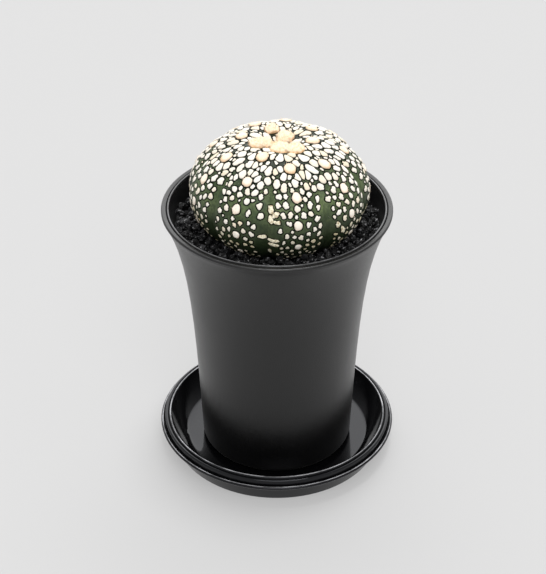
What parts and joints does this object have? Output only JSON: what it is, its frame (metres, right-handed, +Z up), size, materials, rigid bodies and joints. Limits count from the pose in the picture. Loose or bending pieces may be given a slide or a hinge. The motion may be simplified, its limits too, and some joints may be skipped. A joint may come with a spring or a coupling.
{
  "type": "potted star cactus",
  "caption": "Low domed spineless star cactus with woolly flecks, set in black grit in a flared black plastic pot that stands on a saucer.",
  "frame": {"origin": "centre of the saucer's foot ring, on the surface that the saucer stands on", "axes": "+Z up along the pot's axis; -Y is the side that the plant is shown from; +X to that viewer's right"},
  "size_m": [0.0962, 0.0962, 0.1405],
  "materials": {
    "saucer_plastic": "gloss",
    "pot_plastic": "satin",
    "potting_mix": "matte",
    "black_grit": "satin",
    "cactus_skin": "satin"
  },
  "bodies": {
    "root": {"saucer": "saucer_plastic", "pot": "pot_plastic", "potting_mix": "potting_mix", "grit_bed": "black_grit", "cactus": "cactus_skin", "grit_stone_01": "black_grit", "grit_stone_02": "black_grit", "grit_stone_03": "black_grit", "grit_stone_04": "black_grit", "grit_stone_05": "black_grit", "grit_stone_06": "black_grit", "grit_stone_07": "black_grit", "grit_stone_08": "black_grit", "grit_stone_09": "black_grit", "grit_stone_10": "black_grit", "grit_stone_11": "black_grit", "grit_stone_12": "black_grit", "grit_stone_13": "black_grit", "grit_stone_14": "black_grit", "grit_stone_15": "black_grit", "grit_stone_16": "black_grit", "grit_stone_17": "black_grit", "grit_stone_18": "black_grit", "grit_stone_19": "black_grit", "grit_stone_20": "black_grit", "grit_stone_21": "black_grit", "grit_stone_22": "black_grit", "grit_stone_23": "black_grit", "grit_stone_24": "black_grit", "grit_stone_25": "black_grit", "grit_stone_26": "black_grit", "grit_stone_27": "black_grit", "grit_stone_28": "black_grit", "grit_stone_29": "black_grit", "grit_stone_30": "black_grit", "grit_stone_31": "black_grit", "grit_stone_32": "black_grit", "grit_stone_33": "black_grit", "grit_stone_34": "black_grit", "grit_stone_35": "black_grit", "grit_stone_36": "black_grit", "grit_stone_37": "black_grit", "grit_stone_38": "black_grit", "grit_stone_39": "black_grit", "grit_stone_40": "black_grit"}
  },
  "joints": []
}
